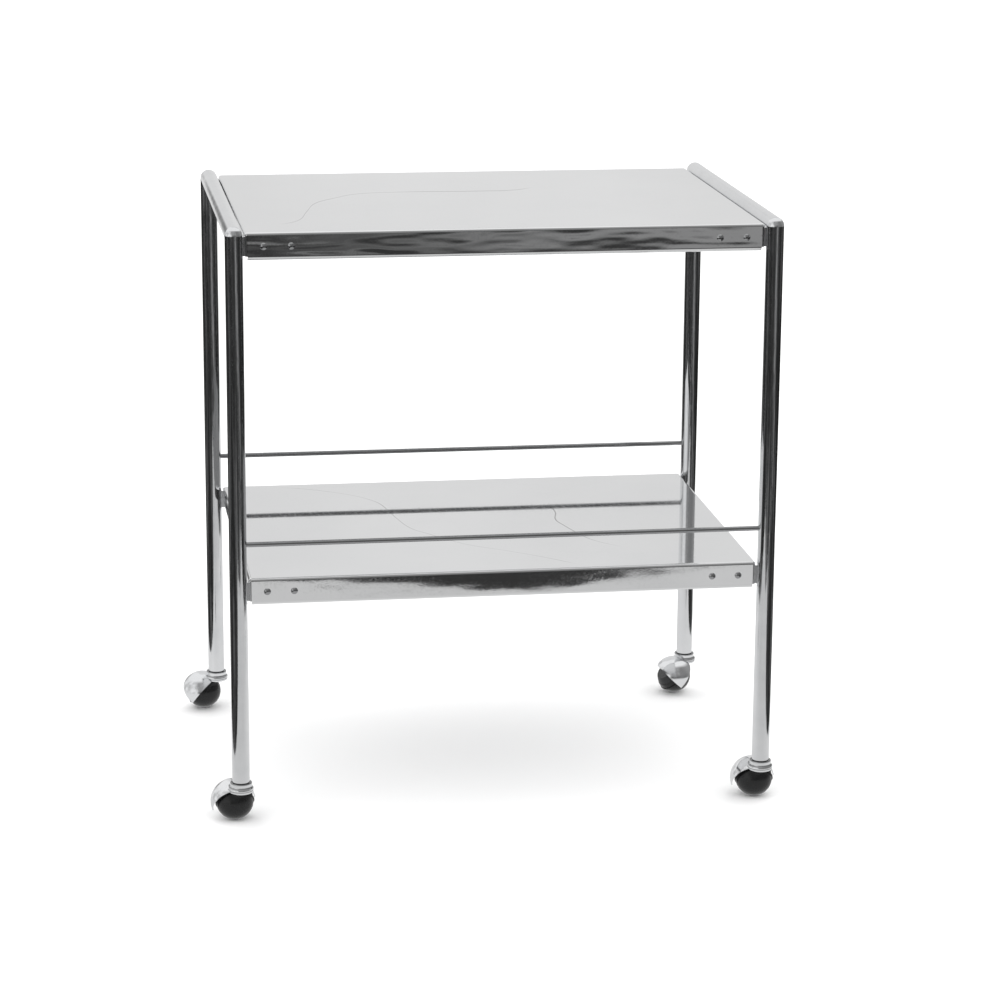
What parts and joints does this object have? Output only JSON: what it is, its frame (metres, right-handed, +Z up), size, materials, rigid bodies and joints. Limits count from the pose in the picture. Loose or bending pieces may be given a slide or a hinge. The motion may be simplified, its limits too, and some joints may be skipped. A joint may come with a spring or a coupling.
{
  "type": "bar cart on wheels",
  "caption": "Two-tier chromed serving cart: polished trays between tubular side hoops, thin gallery rails on the lower tray, and hooded swivelling ball casters.",
  "frame": {"origin": "on the floor, midway between the four caster swivel axes", "axes": "+Z up, +X to the cart's right, +Y to its rear; the front apron faces -Y"},
  "size_m": [0.6374, 0.4499, 0.6565],
  "materials": {
    "chromed_tube": "bright chrome plate on round steel tube and rod",
    "polished_tray": "mirror-polished sheet with fine wiping scratches",
    "rivet": "domed, plated",
    "bracket_steel": "plated steel",
    "black_plastic": "moulded, matt",
    "chromed_hood": "bright chrome on a pressed dome",
    "wheel_hub": "moulded, matt",
    "wheel_tread": "hard rubber-like plastic, satin gloss"
  },
  "bodies": {
    "frame": {"left_hoop": "chromed_tube", "right_hoop": "chromed_tube", "top_tray": "polished_tray", "lower_tray": "polished_tray", "front_gallery_rail": "chromed_tube", "rear_gallery_rail": "chromed_tube", "top_front_rivets": "rivet", "top_front_left_bracket": "bracket_steel", "top_front_right_bracket": "bracket_steel", "top_rear_rivets": "rivet", "top_rear_left_bracket": "bracket_steel", "top_rear_right_bracket": "bracket_steel", "lower_front_rivets": "rivet", "lower_front_left_bracket": "bracket_steel", "lower_front_right_bracket": "bracket_steel", "lower_rear_rivets": "rivet", "lower_rear_left_bracket": "bracket_steel", "lower_rear_right_bracket": "bracket_steel", "front_left_socket": "black_plastic", "front_right_socket": "black_plastic", "rear_left_socket": "black_plastic", "rear_right_socket": "black_plastic"},
    "front_left_caster": {"front_left_stem": "bracket_steel", "front_left_grip_ring": "bracket_steel", "front_left_thrust_washer": "black_plastic", "front_left_hood": "chromed_hood", "front_left_axle": "bracket_steel", "front_left_axle_clip": "bracket_steel"},
    "front_left_wheel": {"front_left_wheel_core": "wheel_hub", "front_left_tyre": "wheel_tread"},
    "front_right_caster": {"front_right_stem": "bracket_steel", "front_right_grip_ring": "bracket_steel", "front_right_thrust_washer": "black_plastic", "front_right_hood": "chromed_hood", "front_right_axle": "bracket_steel", "front_right_axle_clip": "bracket_steel"},
    "front_right_wheel": {"front_right_wheel_core": "wheel_hub", "front_right_tyre": "wheel_tread"},
    "rear_left_caster": {"rear_left_stem": "bracket_steel", "rear_left_grip_ring": "bracket_steel", "rear_left_thrust_washer": "black_plastic", "rear_left_hood": "chromed_hood", "rear_left_axle": "bracket_steel", "rear_left_axle_clip": "bracket_steel"},
    "rear_left_wheel": {"rear_left_wheel_core": "wheel_hub", "rear_left_tyre": "wheel_tread"},
    "rear_right_caster": {"rear_right_stem": "bracket_steel", "rear_right_grip_ring": "bracket_steel", "rear_right_thrust_washer": "black_plastic", "rear_right_hood": "chromed_hood", "rear_right_axle": "bracket_steel", "rear_right_axle_clip": "bracket_steel"},
    "rear_right_wheel": {"rear_right_wheel_core": "wheel_hub", "rear_right_tyre": "wheel_tread"}
  },
  "joints": [
    {"name": "front_left_swivel", "type": "hinge", "parent": "frame", "child": "front_left_caster", "pos_m": [-0.289, -0.205, 0.06], "axis": [0, 0, 1], "continuous": true},
    {"name": "front_left_wheel_spin", "type": "hinge", "parent": "front_left_caster", "child": "front_left_wheel", "pos_m": [-0.29507, -0.18989, 0.0205], "axis": [0.0493, -0.7054, -0.7071], "continuous": true},
    {"name": "front_right_swivel", "type": "hinge", "parent": "frame", "child": "front_right_caster", "pos_m": [0.289, -0.205, 0.06], "axis": [0, 0, 1], "continuous": true},
    {"name": "front_right_wheel_spin", "type": "hinge", "parent": "front_right_caster", "child": "front_right_wheel", "pos_m": [0.28593, -0.18901, 0.0205], "axis": [-0.0862, -0.7018, -0.7071], "continuous": true},
    {"name": "rear_left_swivel", "type": "hinge", "parent": "frame", "child": "rear_left_caster", "pos_m": [-0.289, 0.205, 0.06], "axis": [0, 0, 1], "continuous": true},
    {"name": "rear_left_wheel_spin", "type": "hinge", "parent": "rear_left_caster", "child": "rear_left_wheel", "pos_m": [-0.30429, 0.2106, 0.0205], "axis": [0.5572, -0.4353, -0.7071], "continuous": true},
    {"name": "rear_right_swivel", "type": "hinge", "parent": "frame", "child": "rear_right_caster", "pos_m": [0.289, 0.205, 0.06], "axis": [0, 0, 1], "continuous": true},
    {"name": "rear_right_wheel_spin", "type": "hinge", "parent": "rear_right_caster", "child": "rear_right_wheel", "pos_m": [0.2746, 0.19738, 0.0205], "axis": [0.6964, 0.1228, -0.7071], "continuous": true}
  ]
}
